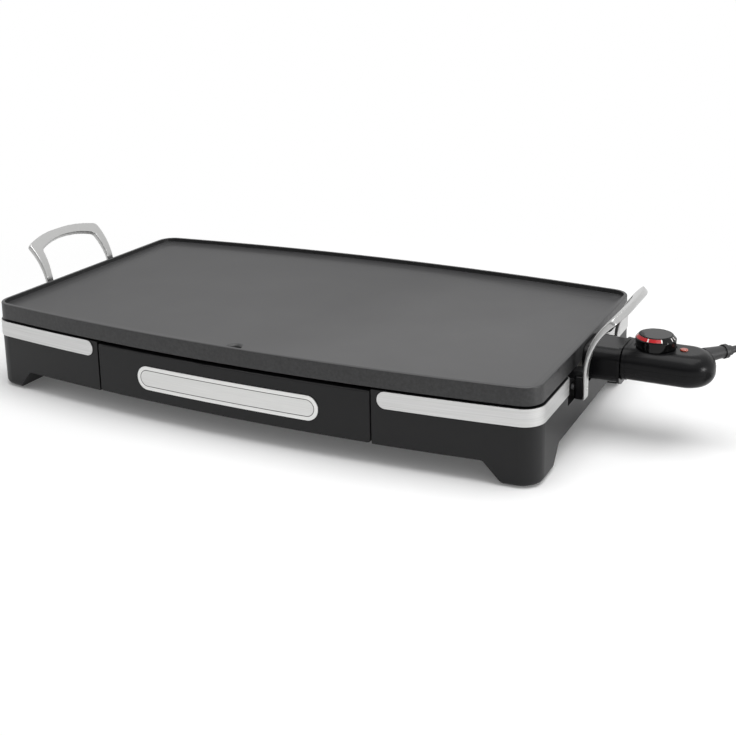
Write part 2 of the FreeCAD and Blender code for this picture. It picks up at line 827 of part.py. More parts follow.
outer = band_side(outside)
inner = band_side(inside)
back = [inner[3], inner[2], (inner[1][0], inner[1][1], inner[1][2], -1 * inner[0][3]), (inner[0][0], inner[0][1])]
path(sk, outer + back)
pad(trim, sk, s["trim_height"])
short = edges_where(trim.Shape, lambda e: abs(e.BoundBox.XMax - num(s["trim_front_end"])) < 0.01
                    and abs(e.BoundBox.ZMax - e.BoundBox.ZMin) < 0.01)
dress(trim, "Fillet", short, s["trim_height"] * 0.49)
trim_left = mirrored("trim_front_left", trim, V(1, 0, 0))
mirrored("trim_rear_right", trim, V(0, 1, 0))
mirrored("trim_rear_left", trim_left, V(0, 1, 0))

# Drawer: bowed front, hollow tray hung by its lip, slide rails on the walls of the bay

front = new_body("drawer_front")
grow = s["base_overhang"]
sk = sketch_on(front, "XY", s["arch_height"])
w = s["drawer_half_width"]
y_edge = bow_y(w, grow)
path(sk, [(-1 * w, -1 * y_edge, 0, bow_radius + grow), (w, -1 * y_edge), (w, -1 * front_back), (-1 * w, -1 * front_back)])
pad(front, sk, base_top - s["drawer_top_gap"] - s["arch_height"])
low_ends = edges_where(front.Shape, lambda e: abs(abs(e.CenterOfMass.x) - num(w)) < 0.01
                       and abs(e.BoundBox.ZMax - num(s["arch_height"])) < 0.01)
dress(front, "Fillet", low_ends, 3)
rim = edges_where(front.Shape, lambda e: e.BoundBox.YMin < -1 * num(front_back) - 3.0
                  and e.BoundBox.XMax - e.BoundBox.XMin > 100)
dress(front, "Fillet", rim, 1.2)

badge = new_body("drawer_badge")
b = s["badge_half_length"]
inside = grow + s["fit"]
outside = inside + s["badge_thickness"]
sk = sketch_on(badge, "XY", s["badge_middle"] - s["badge_height"] / 2)
path(sk, [(-1 * b, -1 * bow_y(b, outside), 0, bow_radius + outside), (b, -1 * bow_y(b, outside)),
          (b, -1 * bow_y(b, inside), 0, -1 * (bow_radius + inside)), (-1 * b, -1 * bow_y(b, inside))])
pad(badge, sk, s["badge_height"])
short = edges_where(badge.Shape, lambda e: abs(abs(e.CenterOfMass.x) - num(b)) < 0.01
                    and abs(e.BoundBox.ZMax - e.BoundBox.ZMin) < 0.01)
dress(badge, "Fillet", short, s["badge_height"] * 0.49)

tray = new_body("drawer_tray")
tw = s["tray_half_width"]
sk = sketch_on(tray, "XY", tray_bottom)
box(sk, -1 * tw, -1 * tray_front, tw, -1 * tray_back, s["tray_corner"])
pad(tray, sk, s["tray_height"])
dress(tray, "Fillet", edges_where(tray.Shape, at_height(tray_bottom)), s["tray_bend"])
sk = sketch_on(tray, "XY", tray_top - s["tray_wall"])
box(sk, -1 * tw - s["tray_lip"], -1 * tray_front, tw + s["tray_lip"], -1 * tray_back + s["tray_lip"], 6)
pad(tray, sk, s["tray_wall"])
sk = sketch_on(tray, "XY", tray_top)
t = s["tray_wall"]
box(sk, -1 * tw + t, -1 * tray_front + t, tw - t, -1 * tray_back - t, s["tray_corner"] - t)
pocket(tray, sk, s["tray_height"] - t)
dress(tray, "Fillet", edges_where(tray.Shape, at_height(tray_bottom + t)), s["tray_bend"] - t)

drawer_screws = []
for number, across in enumerate((-1, 0, 1), 1):
    drawer_screws.append(screw(f"drawer_screw_{number}", across * tw * 0.7, -1 * tray_front + s["tray_wall"] + s["fit"],
                               tray_bottom + s["tray_height"] / 2, ALONG_Y, 3.0, 6.0, 6.5, 2.0))
# bores through the tray wall and into the drawer front
for body, depth in ((tray, s["tray_wall"] * 3), (front, 6.5)):
    sk = sketch_on(body, "XZ", tray_front - s["tray_wall"] - 1 if body is tray else front_back)
    for across in (-1, 0, 1):
        ring(sk, across * tw * 0.7, tray_bottom + s["tray_height"] / 2, 1.5 + s["fit"])
    pocket(body, sk, depth, back=True)
group("drawer_screws", "Compound", drawer_screws)

rail = new_body("drawer_rail_right")
ledge_top = tray_top - s["tray_wall"] - s["slide_gap"]
ledge_edge = bay_half - s["fit"] - s["rail_ledge"]
sk = sketch_on(rail, "XZ", -1 * bay_back + s["fit"])
path(sk, [(bay_half - s["fit"], ledge_top - s["rail_height"]), (bay_half - s["fit"], ledge_top),
          (ledge_edge, ledge_top), (ledge_edge, ledge_top - s["rail_skin"]),
          (bay_half - s["fit"] - s["rail_skin"], ledge_top - s["rail_skin"]),
          (bay_half - s["fit"] - s["rail_skin"], ledge_top - s["rail_height"])])
pad(rail, sk, front_back + bay_back - s["slide_gap"] - s["rail_end_gap"])
mirrored("drawer_rail_left", rail, V(1, 0, 0))

# Handles: a cast strip that leans outwards, with a crowned grip and a wide finger gap

handle = new_body("handle_right")
bend_mid = foot_x0 + s["handle_bend"]
rise = s["handle_top"] - s["handle_bend_start"]
lean = root(s["handle_bend"] * s["handle_bend"] - rise * rise)
top_x = bend_mid - lean
grip = s["handle_top_thickness"]
# the grip's outer corner lies square off the face at the top
cos_top = lean / s["handle_bend"]
sin_top = rise / s["handle_bend"]
outer_x = top_x + cos_top * grip
outer_z = s["handle_top"] - sin_top * grip
outer_start = s["handle_bend_start"] - 4
foot_x1 = foot_x0 + s["handle_foot_thickness"]
sk = sketch_on(handle, "XZ")
outer_bend = s["handle_bend"] - grip * 0.75
path(sk, [(foot_x0, s["handle_foot"], 0.8), (foot_x1, s["handle_foot"] + 3, 2), (foot_x1, outer_start, 0, -1 * outer_bend),
          (outer_x, outer_z, 3.2), (top_x, s["handle_top"], 1.5, s["handle_bend"]),
          (foot_x0, s["handle_bend_start"])])
pad(handle, sk, s["handle_half_span"] * 2 + 4, both=True)

# silhouette and window, both cut square through the leaning strip: crowned bar, legs that widen upwards


def across_strip():
    sk = sketch_on(handle, "YZ", foot_x0)
    sk.AttachmentOffset = FreeCAD.Placement(sk.AttachmentOffset.Base, FreeCAD.Rotation(V(1, 0, 0), WINDOW_ANGLE))
    return sk


span = s["handle_half_span"]
crown = s["handle_crown"]
foot_half = s["bracket_half_outer"] + 0.5
top_v = (top_x - foot_x0) * window_sin + s["handle_top"] * window_cos
shoulder_v = top_v - crown + root(crown * crown - span * span)
foot_v = s["handle_foot"] * window_cos - 8
sk = across_strip()
box(sk, -1 * span - 30, foot_v - 12, span + 30, top_v + 20)
path(sk, [(-1 * foot_half, foot_v), (foot_half, foot_v), (span, shoulder_v, 5, crown), (-1 * span, shoulder_v, 5)])
pocket(handle, sk, s["plate_length"] * 2, both=True)
gap_crown = s["handle_window_crown"]
gap_half = span - s["handle_leg_top"]
gap_foot = foot_half - s["handle_leg_foot"]
gap_v = top_v - s["handle_bar"] - gap_crown + root(gap_crown * gap_crown - gap_half * gap_half)
sk = across_strip()
path(sk, [(-1 * gap_foot, foot_v - 3), (gap_foot, foot_v - 3), (gap_foot, gap_v - 27, 30),
          (gap_half, gap_v, 5, gap_crown), (-1 * gap_half, gap_v, 5), (-1 * gap_foot, gap_v - 27, 30)])
pocket(handle, sk, s["plate_length"] * 2, both=True)
mirrored("handle_left", handle, V(1, 0, 0))

# Handle brackets: a block behind each leg, a neck up past the plate's edge and an arm under its lug
bracket = new_body("bracket_front_right")
bracket_x1 = foot_x0 - s["fit"]
bracket_x0 = half_length + 1.6
arm_end = lug_x - s["bracket_neck_width"] / 2
arm_top = plate_bottom - s["fit"]
sk = sketch_on(bracket, "XZ", bracket_mid - s["bracket_width"] / 2)
path(sk, [(bracket_x0, s["bracket_bottom"], 2), (bracket_x1, s["bracket_bottom"]), (bracket_x1, s["bracket_top"]),
          (bracket_x0, s["bracket_top"], 2)])
pad(bracket, sk, s["bracket_width"])
block = edges_where(bracket.Shape, lambda e: abs(e.BoundBox.XMax - num(bracket_x0)) < 3
                    and e.BoundBox.ZMax - e.BoundBox.ZMin > 5)
dress(bracket, "Fillet", block, 2.5)
sk = sketch_on(bracket, "XZ", bracket_mid - s["bracket_neck_width"] / 2)
neck_x0 = bracket_x1 - 5.4
arm_low = notch_floor + 1
path(sk, [(bracket_x1, s["bracket_top"] - 2), (bracket_x1, arm_top, 1.5), (arm_end, arm_top), (arm_end, arm_low),
          (neck_x0, arm_low), (neck_x0, s["bracket_top"] - 2)])
pad(bracket, sk, s["bracket_neck_width"])
screw_z = (s["bracket_bottom"] + s["bracket_top"]) / 2
leg_mid = foot_half - s["handle_leg_foot"] / 2
leg_screw = s["leg_screw"]
lug_screw = s["lug_screw"]
for body, start, depth in ((bracket, bracket_x0 - 1, 9), (handle, foot_x0 - 1, 4)):
    sk = sketch_on(body, "YZ", start)
    for along in ((-1,) if body is bracket else (-1, 1)):
        ring(sk, along * leg_mid, screw_z, leg_screw / 2 + s["fit"])
    pocket(body, sk, depth, back=True)
for body, start, depth in ((bracket, arm_low - 1, 8), (plate, plate_bottom - 1, 5)):
    sk = sketch_on(body, "XY", start)
    for across in ((1,) if body is bracket else (-1, 1)):
        for along in ((-1,) if body is bracket else (-1, 1)):
            ring(sk, across * lug_x, along * bracket_mid, lug_screw / 2 + s["fit"])
    pocket(body, sk, depth, back=True)
mirror_1 = mirrored("bracket_rear_right", bracket, V(0, 1, 0))
mirror_2 = mirrored("bracket_front_left", bracket, V(1, 0, 0))
mirrored("bracket_rear_left", mirror_2, V(0, 1, 0))

leg_screws = []
lug_screws = []
number = 0
for across, along in ((-1, -1), (1, -1), (1, 1), (-1, 1)):
    number += 1
    turn = TO_LEFT if across > 0 else ALONG_X
    leg_screws.append(screw(f"leg_screw_{number}", across * (bracket_x0 - s["fit"]), along * leg_mid, screw_z,
                            turn, leg_screw, s["leg_screw_length"], leg_screw * 1.8, s["screw_head"]))
    lug_screws.append(screw(f"lug_screw_{number}", across * lug_x, along * bracket_mid, arm_low - s["fit"],
                            DOWN, lug_screw, s["lug_screw_length"], lug_screw * 1.75, s["screw_head"]))
group("handle_screws", "Compound", leg_screws)
group("bracket_screws", "Compound", lug_screws)

# Socket: a moulded collar against the plate, with the terminal block, two pins and the probe sleeve

collar = new_body("socket_collar")
cw = s["collar_half_width"]
sk = sketch_on(collar, "YZ", collar_start)
box(sk, -1 * cw, s["collar_bottom"], cw, s["collar_top"], s["collar_rounding"])
pad(collar, sk, s["collar_length"])
lip = s["collar_lip"]
sk = sketch_on(collar, "YZ", collar_end - 2.4)
box(sk, -1 * cw - lip, s["collar_bottom"] - lip, cw + lip, s["collar_top"] + lip, s["collar_rounding"] + lip)
pad(collar, sk, 2.4)
cwi = cw - s["collar_wall"]
sk = sketch_on(collar, "YZ", collar_start - 1)
box(sk, -1 * cwi, s["collar_bottom"] + s["collar_wall"], cwi, s["collar_top"] - s["collar_wall"],
    s["collar_rounding"] - s["collar_wall"])
pocket(collar, sk, s["collar_length"] + 4, back=True)

terminal = new_body("terminal_block")
sk = sketch_on(terminal, "YZ", term_start)
box(sk, -1 * term_half, term_bottom, term_half, term_top, 2)
pad(terminal, sk, term_end - term_start)
half_pitch = s["pin_pitch"] / 2
sk = sketch_on(terminal, "YZ", term_start - 1)
for along in (-1, 1):
    ring(sk, along * half_pitch, s["element_height"], s["pin_diameter"] / 2 + s["fit"])
ring(sk, 0, s["element_height"], s["probe_diameter"] / 2 + 1 + 2 * s["fit"])
pocket(terminal, sk, back=True)

pins = []
for number, along in enumerate((-1, 1), 1):
    pins.append(primitive("Cylinder", f"terminal_pin_{number}", Radius=s["pin_diameter"] / 2,
                          Height=collar_end - 8 - term_start, x=term_start, y=along * half_pitch,
                          z=s["element_height"], turn=ALONG_X))
group("terminal_pins", "Compound", pins)

sleeve_outer = primitive("Cylinder", "sleeve_outer", Radius=s["probe_diameter"] / 2 + 1 + s["fit"],
                         Height=term_end - probe_end + 3, x=probe_end - 2, y=0, z=s["element_height"], turn=ALONG_X)
sleeve_bore = primitive("Cylinder", "sleeve_bore", Radius=s["probe_diameter"] / 2 + s["fit"],
                        Height=term_end - probe_end + 5, x=probe_end - 1, y=0, z=s["element_height"], turn=ALONG_X)
sleeve = doc.addObject("Part::Cut", "probe_sleeve")
sleeve.Base = sleeve_outer
sleeve.Tool = sleeve_bore

# Thermostat: two half shells with a domed end, the nose that plugs into the collar, probe and sleeves

kw = s["case_half_width"]
seam = s["case_seam"]


def case_plan(sk, shrink):
    side = kw - shrink
    path(sk, [(case_start, -1 * side), (case_end - kw, -1 * side, 0, side), (case_end - shrink, 0, 0, side),
              (case_end - kw, side), (case_start, side)])


def half_shell(label, upper):
    body = new_body(label)
    seat = seam + s["fit"] if upper else seam - s["fit"]
    deep = s["case_top"] - seat if upper else seat - s["case_bottom"]
    sk = sketch_on(body, "XY", seat)
    case_plan(sk, 0)
    pad(body, sk, deep, back=not upper)
    far = s["case_top"] if upper else s["case_bottom"]
    names = edges_where(body.Shape, lambda e: at_height(far)(e)
                        and not (abs(e.BoundBox.XMax - num(case_start)) < 0.01))
    dress(body, "Fillet", names, s["case_rounding"])
    sk = sketch_on(body, "YZ", case_start)
    rim = s["case_lip"]
    edge = s["case_rounding"] + rim
    low = s["case_bottom"] - rim
    high = s["case_top"] + rim * 0.3
    if upper:
        path(sk, [(-1 * kw - rim, seat), (kw + rim, seat), (kw + rim, high, edge), (-1 * kw - rim, high, edge)])
    else:
        path(sk, [(-1 * kw - rim, low, edge), (kw + rim, low, edge), (kw + rim, seat), (-1 * kw - rim, seat)])
    pad(body, sk, 3)
    inside = s["case_wall"]
    round_in = s["case_rounding"] - inside
    sk = sketch_on(body, "YZ", case_start + 4)
    side = kw - inside
    if upper:
        top = s["case_top"] - inside
        path(sk, [(-1 * side, seat - 1), (side, seat - 1), (side, top, round_in), (-1 * side, top, round_in)])
    else:
        top = s["case_bottom"] + inside
        path(sk, [(-1 * side, top, round_in), (side, top, round_in), (side, seat + 1), (-1 * side, seat + 1)])
    pocket(body, sk, case_end - kw - case_start - 4, back=True)
    return body


upper = half_shell("controller_upper_shell", True)
lower = half_shell("controller_lower_shell", False)

# nose of the thermostat inside the collar, with the sleeves that take the pins
nose = new_body("connector_nose")
nose_half = cwi - 1
nose_low = s["collar_bottom"] + s["collar_wall"] + 1
nose_high = s["collar_top"] - s["collar_wall"] - 1
sk = sketch_on(nose, "YZ", nose_start)
box(sk, -1 * nose_half, nose_low, nose_half, nose_high, s["collar_rounding"] - s["collar_wall"] - 1)
pad(nose, sk, case_start - s["fit"] - nose_start)
sleeve_outer_r = s["pin_diameter"] / 2 + 0.9
sk = sketch_on(nose, "YZ", nose_start - 1)
for along in (-1, 1):
    ring(sk, along * half_pitch, s["element_height"], sleeve_outer_r + s["fit"])
ring(sk, 0, s["element_height"], s["probe_diameter"] / 2 + 1.4)
pocket(nose, sk, back=True)

contacts = []
for number, along in enumerate((-1, 1), 1):
    tube = primitive("Cylinder", f"contact_outer_{number}", Radius=sleeve_outer_r, Height=case_start - nose_start - 1,
                     x=nose_start + 0.5, y=along * half_pitch, z=s["element_height"], turn=ALONG_X)
    bore = primitive("Cylinder", f"contact_bore_{number}", Radius=s["pin_diameter"] / 2 + s["fit"],
                     Height=case_start - nose_start - 4, x=nose_start, y=along * half_pitch,
                     z=s["element_height"], turn=ALONG_X)
    cut = doc.addObject("Part::Cut", f"contact_sleeve_{number}")
    cut.Base = tube
    cut.Tool = bore
    contacts.append(cut)
group("contact_sleeves", "Compound", contacts)

for shell in (upper, lower):
    sk = sketch_on(shell, "YZ", case_start - 1)
    ring(sk, 0, s["element_height"], s["probe_diameter"] / 2 + s["fit"])
    pocket(shell, sk, 6, back=True)
primitive("Cylinder", "probe_rod", Radius=s["probe_diameter"] / 2, Height=case_start + 5 - probe_end,
          x=probe_end, y=0, z=s["element_height"], turn=ALONG_X)

# thermostat switch inside the case
switch = new_body("thermostat_switch")
sk = sketch_on(switch, "XY", s["case_bottom"] + s["case_wall"] + s["fit"])
box(sk, switch_start, -12, switch_start + 34, 12, 2)
pad(switch, sk, s["case_top"] - s["case_bottom"] - 2 * s["case_wall"] - 8)

# Knob with its bevelled cap and shaft
knob = new_body("temperature_knob")
knob_r = s["knob_diameter"] / 2
face_r = s["knob_face"] / 2
shaft_r = 3
sk = sketch_on(knob, "XZ")
knob_high = knob_low + s["knob_height"]
bore_r = shaft_r + s["fit"]
path(sk, [(bore_r, knob_low), (knob_r - 0.6, knob_low, 0.4), (knob_r, knob_high - 3.4, 1.5),
          (face_r + 0.6, knob_high, 0.3), (face_r, knob_high), (face_r - 0.2, knob_high - 1),
          (bore_r, knob_high - 1)])
turned = knob.newObject("PartDesign::Revolution", "knob_turn")
turned.Profile = sk
turned.ReferenceAxis = (sk, ["V_Axis"])
turned.Angle = 360
bind(knob, ".Placement.Base.x", knob_x)
doc.recompute()

primitive("Cylinder", "knob_cap", Radius=face_r - 0.2 - s["fit"], Height=1.2, x=knob_x, y=0, z=knob_high - 1 + s["fit"])
shaft_foot = s["case_top"] - s["case_wall"] - 2
primitive("Cylinder", "knob_shaft", Radius=shaft_r, Height=knob_high - 1 - shaft_foot, x=knob_x, y=0, z=shaft_foot)
sk = sketch_on(upper, "XY", s["case_top"] + 2)
ring(sk, knob_x, 0, knob_r + 0.6)
pocket(upper, sk, s["knob_well"] + 2)
sk = sketch_on(upper, "XY", s["case_top"] + 2)
ring(sk, knob_x, 0, shaft_r + s["fit"])
pocket(upper, sk, 8)

lens = new_body("pilot_lens")
sk = sketch_on(lens, "XY", s["case_top"] - s["case_wall"])
ring(sk, lens_x, 0, 3.5 - s["fit"])
pad(lens, sk, s["case_wall"] + 1.1)
dress(lens, "Fillet", edges_where(lens.Shape, at_height(s["case_top"] + 1.1)), 0.9)
sk = sketch_on(upper, "XY", s["case_top"] + 2)
ring(sk, lens_x, 0, 3.5)
pocket(upper, sk, 8)

# The lead leaves the far rear of the domed end through a tapered strain relief

lead_r = s["lead_diameter"] / 2
turn_out = FreeCAD.Rotation(V(0, 0, 1), RELIEF_ANGLE) * FreeCAD.Rotation(V(0, 1, 0), 90)


def on_relief(name, kind, along, **values):
    item = primitive(kind, name, x=relief_x + along * relief_cos, y=relief_y + along * relief_sin, z=relief_z,
                     **values)
    item.Placement = FreeCAD.Placement(item.Placement.Base, turn_out)
    return item


relief_r = s["relief_diameter"] / 2
tail = s["relief_length"]
relief_parts = [
    on_relief("relief_sleeve", "Cone", -4.5, Radius1=relief_r + 0.6, Radius2=relief_r - 0.8, Height=tail * 0.66 + 4.5),
    on_relief("relief_ring", "Cylinder", tail * 0.66, Radius=relief_r + 0.2, Height=3.6),
    on_relief("relief_tip", "Cone", tail * 0.66 + 3.6, Radius1=relief_r - 1, Radius2=lead_r + 1.2,
              Height=tail * 0.34 - 3.6),
]
relief_body = group("relief_body", "MultiFuse", relief_parts)
relief_bore = on_relief("relief_bore", "Cylinder", 6, Radius=lead_r + s["fit"], Height=tail)
relief = doc.addObject("Part::Cut", "strain_relief")
relief.Base = relief_body
relief.Tool = relief_bore
relief_seat = on_relief("relief_seat", "Cone", -4.55, Radius1=relief_r + 0.65, Radius2=relief_r - 0.75,
                        Height=tail * 0.66 + 4.5)
upper.Label = "controller_upper_form"
upper_shell = doc.addObject("Part::Cut", "controller_upper_shell_cut")
upper_shell.Label = "controller_upper_shell"
upper_shell.Base = upper
upper_shell.Tool = relief_seat
doc.recompute()

# The lead: straight runs joined by arcs, from the bottom of the relief's bore down to the table
lead_start = V(num(relief_x) + 6 * relief_cos, num(relief_y) + 6 * relief_sin, num(relief_z))
exit_x = num(relief_x)
floor_z = num(lead_r)
coil_x = exit_x + 142
coil_radius = 42.0
coil_turns = 5
coil_pitch = num(s["lead_diameter"]) + 0.7
coil_y = coil_radius
LEAD = [
    lead_start,
    lead_start + V(relief_cos, relief_sin, 0) * 38.0,
    V(exit_x + 57.5, 71.4, num(relief_z) - 12.5),
    V(exit_x + 79.1, 80.4, num(relief_z) - 39.9),
    V(exit_x + 98, 83, num(relief_z) - 64.5),
    V(exit_x + 120, coil_y + coil_radius, floor_z),
    V(coil_x, coil_y + coil_radius, floor_z),
]


def rounded_route(points):
    edges = []
    last = points[0]
    for before, corner, after in zip(points, points[1:], points[2:]):
        into = (corner - before)
        out = (after - corner)
        turn = into.getAngle(out)
        reach = 0.45 * min(into.Length, out.Length)
        radius = reach / math.tan(turn / 2)
        print("lead bend radius %.0f, turn %.0f degrees" % (radius, math.degrees(turn)))
        start = corner - into.normalize() * reach
        stop = corner + out.normalize() * reach
        inward = (start + stop) * 0.5 - corner
        middle = corner + inward.normalize() * (radius / math.cos(turn / 2) - radius)
        edges.append(Part.LineSegment(last, start).toShape())
        edges.append(Part.Arc(start, middle, stop).toShape())
        last = stop
    edges.append(Part.LineSegment(last, points[-1]).toShape())
    return Part.Wire(edges)


def tube(label, wire, radius):
    first = wire.OrderedEdges[0]
    start = first.valueAt(first.FirstParameter)
    way = first.tangentAt(first.FirstParameter)
    ring_edge = Part.Wire([Part.makeCircle(radius, start, way)])
    shell = Part.BRepOffsetAPI.MakePipeShell(wire)
    shell.add(ring_edge)
    shell.build()
    shell.makeSolid()
    item = doc.addObject("Part::Feature", label)
    item.Shape = shell.shape()
    item.Placement = FreeCAD.Placement()
    share = item.Shape.Volume / (math.pi * radius * radius * wire.Length)
    print("%s length %.0f, volume over section times length %.4f" % (label, wire.Length, share))
    return item


lead_wire = rounded_route(LEAD)
tube("mains_lead", lead_wire, floor_z)

# The coil: half turns that spiral in on the table, climb and spiral out again on top
half_turns = [coil_radius - coil_pitch / 2 * step for step in range(coil_turns)]
radii = half_turns + [coil_radius - coil_pitch / 2 * coil_turns] + half_turns[::-1]
here = V(coil_x, coil_y + coil_radius, floor_z)
edges = []
for step, radius in enumerate(radii):
    across = -1 if step % 2 == 0 else 1
    climb = coil_pitch if step == coil_turns else 0.0
    there = here + V(0, across * 2 * radius, climb)
    out = math.sqrt(radius * radius + (climb / 2) ** 2)
    middle = (here + there) * 0.5 + V(-across * out, 0, 0)
    edges.append(Part.Arc(here, middle, there).toShape())
    here = there
coil_end = here + V(-28, 0, 0)
edges.append(Part.LineSegment(here, coil_end).toShape())
coil_wire = Part.Wire(edges)
tube("lead_coil", coil_wire, floor_z)
marks = coil_wire.discretize(Distance=2.0)
skip = int(num(s["lead_diameter"]) * 3)
least = min((a - b).Length for i, a in enumerate(marks) for b in marks[i + skip:])
print("coil least gap to itself %.2f" % (least - num(s["lead_diameter"])))
print("whole lead %.0f" % (lead_wire.Length + coil_wire.Length))

# Plug: a tapered neck and a rounded block with two pins
plug = new_body("mains_plug")
plug_z = floor_z + coil_pitch
sk = sketch_on(plug, "YZ", coil_end.x - 41)
box(sk, -17, 0, 17, plug_z * 2, 6)
pad(plug, sk, 27)
ends = edges_where(plug.Shape, lambda e: e.BoundBox.XMax - e.BoundBox.XMin < 0.01)
dress(plug, "Fillet", ends, 2.5)
neck_cone = primitive("Cone", "plug_neck", Radius1=6.5, Radius2=4.6, Height=15, x=coil_end.x - 15, y=0, z=plug_z,
                      turn=ALONG_X)
plug.Label = "plug_block"
plug_body = group("mains_plug_whole", "MultiFuse", [plug, neck_cone])
plug_body.Label = "mains_plug"
plug_pins = []
for number, along in enumerate((-1, 1), 1):
    plug_pins.append(primitive("Cylinder", f"plug_pin_{number}", Radius=2.4, Height=19, x=coil_end.x - 41 - 19,
                               y=along * 9.5, z=plug_z, turn=ALONG_X))
group("plug_pins", "Compound", plug_pins)
doc.recompute()

# Checks and files

NODES = [
    "base_housing", "foot_pads", "plate_rest_pads", "heat_reflector", "drawer_rail_right", "drawer_rail_left",
    "trim_front_right", "trim_front_left", "trim_rear_right", "trim_rear_left",
    "drawer_front", "drawer_badge", "drawer_tray", "drawer_screws",
    "cooking_plate", "heating_element", "terminal_block", "terminal_pins", "probe_sleeve", "socket_collar",
    "handle_right", "handle_left", "bracket_front_right", "bracket_front_left", "bracket_rear_right",
    "bracket_rear_left", "handle_screws", "bracket_screws",
    "controller_upper_shell", "controller_lower_shell", "connector_nose", "contact_sleeves", "probe_rod",
    "thermostat_switch", "pilot_lens", "strain_relief", "mains_lead", "lead_coil", "mains_plug", "plug_pins",
    "temperature_knob", "knob_cap", "knob_shaft",
]
for item in doc.Objects:
    if "Invalid" in item.State or "Error" in item.State:
        raise RuntimeError(f"{item.Name}: {item.State}")
by_label = {item.Label: item for item in doc.Objects}
finished = [by_label[name] for name in NODES]
for item in finished:
    if item.Shape.isNull() or not item.Shape.isValid() or not item.Shape.Solids:
        raise RuntimeError(f"{item.Label}: no valid solid")
os.makedirs("parts", exist_ok=True)
for item in finished:
    item.Shape.exportStep(f"parts/{item.Label}.step")
print(len(finished), "nodes", sum(len(item.Shape.Solids) for item in finished), "solids")
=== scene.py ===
import bmesh
import bpy
import json
import math
from mathutils import Matrix, Vector
from mathutils.bvhtree import BVHTree
from mathutils.interpolate import poly_3d_calc


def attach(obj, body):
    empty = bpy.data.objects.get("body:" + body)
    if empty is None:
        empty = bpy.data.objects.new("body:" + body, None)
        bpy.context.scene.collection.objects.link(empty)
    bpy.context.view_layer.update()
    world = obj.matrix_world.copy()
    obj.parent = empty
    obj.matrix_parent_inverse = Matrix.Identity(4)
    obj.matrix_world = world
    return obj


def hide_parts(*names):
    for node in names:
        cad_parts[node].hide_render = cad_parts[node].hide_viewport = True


# Electric plancha: finishes, lead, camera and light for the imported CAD.
# Metres. X runs to the thermostat, Y to the back, Z up from the table.

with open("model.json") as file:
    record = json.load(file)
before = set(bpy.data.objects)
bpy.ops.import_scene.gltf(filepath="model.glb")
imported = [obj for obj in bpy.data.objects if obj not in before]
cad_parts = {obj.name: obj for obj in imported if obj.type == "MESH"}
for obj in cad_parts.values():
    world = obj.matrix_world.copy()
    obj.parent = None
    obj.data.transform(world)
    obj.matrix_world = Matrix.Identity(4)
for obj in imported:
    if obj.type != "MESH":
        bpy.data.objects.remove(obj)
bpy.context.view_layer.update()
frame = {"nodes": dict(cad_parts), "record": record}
nodes = frame["nodes"]


# Camera, matched to the photograph's view

PHOTO_WIDTH_PX = 736
FOCAL_LENGTH_PX = 1144.264
VIEW_SHIFT_PX = -162.0
SENSOR_WIDTH_MM = 36.0
NEAR_CLIP = 0.05
CAMERA_PLACE = Vector((0.5434, -0.9331, 0.4198))
CAMERA_RIGHT = Vector((0.8912854, 0.4530142, -0.0194014))
CAMERA_BACK = Vector((0.4456960, -0.8674086, 0.2213042))


def place_camera():
    data = bpy.data.cameras.new("view_camera")
    camera = bpy.data.objects.new("view_camera", data)
    bpy.context.scene.collection.objects.link(camera)
    data.sensor_width = SENSOR_WIDTH_MM
    data.lens = FOCAL_LENGTH_PX / PHOTO_WIDTH_PX * SENSOR_WIDTH_MM
    data.shift_y = VIEW_SHIFT_PX / PHOTO_WIDTH_PX
    data.clip_start = NEAR_CLIP
    right = CAMERA_RIGHT.normalized()
    back = (CAMERA_BACK - right * CAMERA_BACK.dot(right)).normalized()
    up = back.cross(right)
    turn = Matrix((right, up, back)).transposed()
    camera.matrix_world = Matrix.Translation(CAMERA_PLACE) @ turn.to_4x4()
    bpy.context.scene.camera = camera


place_camera()


# Building blocks of node trees

def feed(tree, socket, term):
    """Gives a socket a plain value, or links it to another node's output."""
    if isinstance(term, bpy.types.NodeSocket):
        tree.links.new(term, socket)
    else:
        socket.default_value = term


def add_node(tree, kind, inputs=None, **settings):
    """A new node: inputs go to its sockets, settings to its own properties."""
    node = tree.nodes.new("ShaderNode" + kind)
    for key, value in settings.items():
        setattr(node, key, value)
    for label, term in (inputs or {}).items():
        feed(tree, node.inputs[label], term)
    return node


def reckon(tree, kind, *terms):
    """One step of arithmetic on numbers or outputs."""
    return add_node(tree, "Math", dict(enumerate(terms)), operation=kind).outputs[0]


def scaled(tree, color, factor):
    """A colour made lighter or darker by a factor."""
    return add_node(tree, "VectorMath", {0: color, "Scale": factor}, operation="SCALE").outputs[0]


def remapped(tree, value, low, high):
    """A value from 0 to 1, spread over low to high."""
    return add_node(tree, "MapRange", {"Value": value, "To Min": low, "To Max": high}).outputs[0]


def blend(tree, low, high, start, full, value):
    """A soft change from low to high as the value goes from start to full."""
    return add_node(tree, "MapRange", {"From Min": start, "From Max": full, "To Min": low, "To Max": high,
                                       "Value": value}, interpolation_type="SMOOTHSTEP").outputs[0]


def mixed(tree, kind, factor, low, high):
    """Two colours or two numbers, mixed by a factor."""
    mix = add_node(tree, "Mix", data_type=kind)
    for label, term in (("Factor", factor), ("A", low), ("B", high)):
        feed(tree, mix.inputs[label], term)
    return mix.outputs["Result"]


def raised(tree, height, strength, depth, below=None, **settings):
    """A normal shaped by a height, on top of the relief below it."""
    relief = add_node(tree, "Bump", {"Strength": strength, "Distance": depth, "Height": height}, **settings)
    if below is not None:
        tree.links.new(below, relief.inputs["Normal"])
    return relief.outputs["Normal"]


def larger(tree, *values):
    result = values[0]
    for value in values[1:]:
        result = reckon(tree, "MAXIMUM", result, value)
    return result


def own_place(tree):
    """The point on the piece, in the piece's own coordinates."""
    return add_node(tree, "TexCoord").outputs["Object"]


def own_xyz(tree):
    return add_node(tree, "SeparateXYZ", {0: own_place(tree)}).outputs


